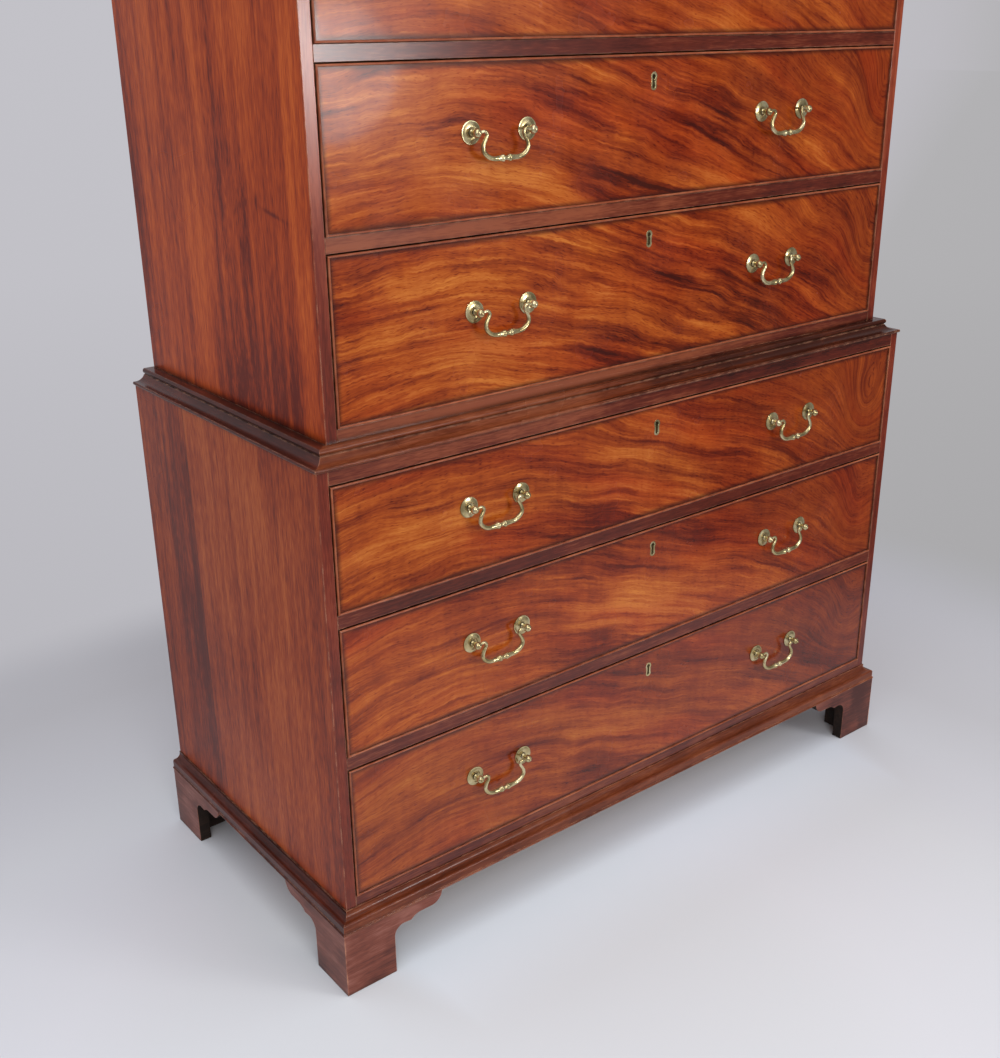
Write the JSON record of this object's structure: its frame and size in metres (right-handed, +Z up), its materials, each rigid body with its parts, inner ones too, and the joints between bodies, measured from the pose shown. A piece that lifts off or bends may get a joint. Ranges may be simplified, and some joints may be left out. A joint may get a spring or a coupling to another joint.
{
  "type": "chest on chest",
  "caption": "Two-part chest of drawers on bracket feet: an upper case seated in a moulding on a wider base, cock-beaded drawers, swan-neck bail handles, moulded cornice.",
  "frame": {"origin": "centre of the footprint at floor level, handles and mouldings included", "axes": "+Z up, -Y towards the drawer fronts, +X to the right seen from the front"},
  "size_m": [1.1518, 0.5436, 1.6552],
  "materials": {
    "mahogany": "french polished mahogany, worn on the arrises",
    "figured_veneer": "figured mahogany veneer, polished, with darker cock beads",
    "oak_lining": "unfinished oak drawer linings, aged",
    "pine": "unfinished pine, aged and dusty",
    "brass": "aged polished brass with dark recesses"
  },
  "bodies": {
    "base_case": {"base_left_side": "mahogany", "base_right_side": "mahogany", "base_top_board": "pine", "base_bottom_board": "pine", "base_back_boards": "pine", "base_drawer_rails": "mahogany", "base_dustboards_and_stops": "pine", "plinth_moulding": "mahogany", "waist_moulding": "mahogany", "front_left_foot": "mahogany", "front_right_foot": "mahogany", "rear_left_foot": "mahogany", "rear_right_foot": "mahogany"},
    "upper_case": {"upper_left_side": "mahogany", "upper_right_side": "mahogany", "upper_top_board": "pine", "upper_bottom_board": "pine", "upper_back_boards": "pine", "upper_drawer_rails": "mahogany", "upper_partition": "mahogany", "upper_dustboards_and_stops": "pine", "cornice": "mahogany"},
    "base_bottom_drawer": {"base_bottom_drawer_front": "figured_veneer", "base_bottom_drawer_box": "oak_lining", "base_bottom_drawer_brasses": "brass"},
    "base_bottom_drawer_left_bail": {"base_bottom_drawer_left_bail": "brass"},
    "base_bottom_drawer_right_bail": {"base_bottom_drawer_right_bail": "brass"},
    "base_middle_drawer": {"base_middle_drawer_front": "figured_veneer", "base_middle_drawer_box": "oak_lining", "base_middle_drawer_brasses": "brass"},
    "base_middle_drawer_left_bail": {"base_middle_drawer_left_bail": "brass"},
    "base_middle_drawer_right_bail": {"base_middle_drawer_right_bail": "brass"},
    "base_top_drawer": {"base_top_drawer_front": "figured_veneer", "base_top_drawer_box": "oak_lining", "base_top_drawer_brasses": "brass"},
    "base_top_drawer_left_bail": {"base_top_drawer_left_bail": "brass"},
    "base_top_drawer_right_bail": {"base_top_drawer_right_bail": "brass"},
    "upper_bottom_drawer": {"upper_bottom_drawer_front": "figured_veneer", "upper_bottom_drawer_box": "oak_lining", "upper_bottom_drawer_brasses": "brass"},
    "upper_bottom_drawer_left_bail": {"upper_bottom_drawer_left_bail": "brass"},
    "upper_bottom_drawer_right_bail": {"upper_bottom_drawer_right_bail": "brass"},
    "upper_middle_drawer": {"upper_middle_drawer_front": "figured_veneer", "upper_middle_drawer_box": "oak_lining", "upper_middle_drawer_brasses": "brass"},
    "upper_middle_drawer_left_bail": {"upper_middle_drawer_left_bail": "brass"},
    "upper_middle_drawer_right_bail": {"upper_middle_drawer_right_bail": "brass"},
    "upper_top_drawer": {"upper_top_drawer_front": "figured_veneer", "upper_top_drawer_box": "oak_lining", "upper_top_drawer_brasses": "brass"},
    "upper_top_drawer_left_bail": {"upper_top_drawer_left_bail": "brass"},
    "upper_top_drawer_right_bail": {"upper_top_drawer_right_bail": "brass"},
    "left_short_drawer": {"left_short_drawer_front": "figured_veneer", "left_short_drawer_box": "oak_lining", "left_short_drawer_brasses": "brass"},
    "left_short_drawer_bail": {"left_short_drawer_bail": "brass"},
    "right_short_drawer": {"right_short_drawer_front": "figured_veneer", "right_short_drawer_box": "oak_lining", "right_short_drawer_brasses": "brass"},
    "right_short_drawer_bail": {"right_short_drawer_bail": "brass"}
  },
  "joints": [
    {"name": "upper_case_lift_off", "type": "slide", "parent": "base_case", "child": "upper_case", "axis": [0, 0, 1], "range_m": [0, 0.06]},
    {"name": "base_bottom_drawer_slide", "type": "slide", "parent": "base_case", "child": "base_bottom_drawer", "axis": [0, -1, 0], "range_m": [0, 0.4]},
    {"name": "base_bottom_drawer_left_bail_hinge", "type": "hinge", "parent": "base_bottom_drawer", "child": "base_bottom_drawer_left_bail", "pos_m": [-0.296, -0.26525, 0.25265], "axis": [1, 0, 0], "range_deg": [-164, 14]},
    {"name": "base_bottom_drawer_right_bail_hinge", "type": "hinge", "parent": "base_bottom_drawer", "child": "base_bottom_drawer_right_bail", "pos_m": [0.296, -0.26525, 0.25265], "axis": [1, 0, 0], "range_deg": [-164, 14]},
    {"name": "base_middle_drawer_slide", "type": "slide", "parent": "base_case", "child": "base_middle_drawer", "axis": [0, -1, 0], "range_m": [0, 0.4]},
    {"name": "base_middle_drawer_left_bail_hinge", "type": "hinge", "parent": "base_middle_drawer", "child": "base_middle_drawer_left_bail", "pos_m": [-0.296, -0.26525, 0.4634], "axis": [1, 0, 0], "range_deg": [-164, 14]},
    {"name": "base_middle_drawer_right_bail_hinge", "type": "hinge", "parent": "base_middle_drawer", "child": "base_middle_drawer_right_bail", "pos_m": [0.296, -0.26525, 0.4634], "axis": [1, 0, 0], "range_deg": [-164, 14]},
    {"name": "base_top_drawer_slide", "type": "slide", "parent": "base_case", "child": "base_top_drawer", "axis": [0, -1, 0], "range_m": [0, 0.4]},
    {"name": "base_top_drawer_left_bail_hinge", "type": "hinge", "parent": "base_top_drawer", "child": "base_top_drawer_left_bail", "pos_m": [-0.296, -0.26525, 0.65965], "axis": [1, 0, 0], "range_deg": [-164, 14]},
    {"name": "base_top_drawer_right_bail_hinge", "type": "hinge", "parent": "base_top_drawer", "child": "base_top_drawer_right_bail", "pos_m": [0.296, -0.26525, 0.65965], "axis": [1, 0, 0], "range_deg": [-164, 14]},
    {"name": "upper_bottom_drawer_slide", "type": "slide", "parent": "upper_case", "child": "upper_bottom_drawer", "axis": [0, -1, 0], "range_m": [0, 0.38]},
    {"name": "upper_bottom_drawer_left_bail_hinge", "type": "hinge", "parent": "upper_bottom_drawer", "child": "upper_bottom_drawer_left_bail", "pos_m": [-0.26, -0.23725, 0.9056], "axis": [1, 0, 0], "range_deg": [-164, 14]},
    {"name": "upper_bottom_drawer_right_bail_hinge", "type": "hinge", "parent": "upper_bottom_drawer", "child": "upper_bottom_drawer_right_bail", "pos_m": [0.26, -0.23725, 0.9056], "axis": [1, 0, 0], "range_deg": [-164, 14]},
    {"name": "upper_middle_drawer_slide", "type": "slide", "parent": "upper_case", "child": "upper_middle_drawer", "axis": [0, -1, 0], "range_m": [0, 0.38]},
    {"name": "upper_middle_drawer_left_bail_hinge", "type": "hinge", "parent": "upper_middle_drawer", "child": "upper_middle_drawer_left_bail", "pos_m": [-0.26, -0.23725, 1.12135], "axis": [1, 0, 0], "range_deg": [-164, 14]},
    {"name": "upper_middle_drawer_right_bail_hinge", "type": "hinge", "parent": "upper_middle_drawer", "child": "upper_middle_drawer_right_bail", "pos_m": [0.26, -0.23725, 1.12135], "axis": [1, 0, 0], "range_deg": [-164, 14]},
    {"name": "upper_top_drawer_slide", "type": "slide", "parent": "upper_case", "child": "upper_top_drawer", "axis": [0, -1, 0], "range_m": [0, 0.38]},
    {"name": "upper_top_drawer_left_bail_hinge", "type": "hinge", "parent": "upper_top_drawer", "child": "upper_top_drawer_left_bail", "pos_m": [-0.26, -0.23725, 1.3171], "axis": [1, 0, 0], "range_deg": [-164, 14]},
    {"name": "upper_top_drawer_right_bail_hinge", "type": "hinge", "parent": "upper_top_drawer", "child": "upper_top_drawer_right_bail", "pos_m": [0.26, -0.23725, 1.3171], "axis": [1, 0, 0], "range_deg": [-164, 14]},
    {"name": "left_short_drawer_slide", "type": "slide", "parent": "upper_case", "child": "left_short_drawer", "axis": [0, -1, 0], "range_m": [0, 0.38]},
    {"name": "left_short_drawer_bail_hinge", "type": "hinge", "parent": "left_short_drawer", "child": "left_short_drawer_bail", "pos_m": [-0.26062, -0.23725, 1.4931], "axis": [1, 0, 0], "range_deg": [-164, 14]},
    {"name": "right_short_drawer_slide", "type": "slide", "parent": "upper_case", "child": "right_short_drawer", "axis": [0, -1, 0], "range_m": [0, 0.38]},
    {"name": "right_short_drawer_bail_hinge", "type": "hinge", "parent": "right_short_drawer", "child": "right_short_drawer_bail", "pos_m": [0.26062, -0.23725, 1.4931], "axis": [1, 0, 0], "range_deg": [-164, 14]}
  ]
}
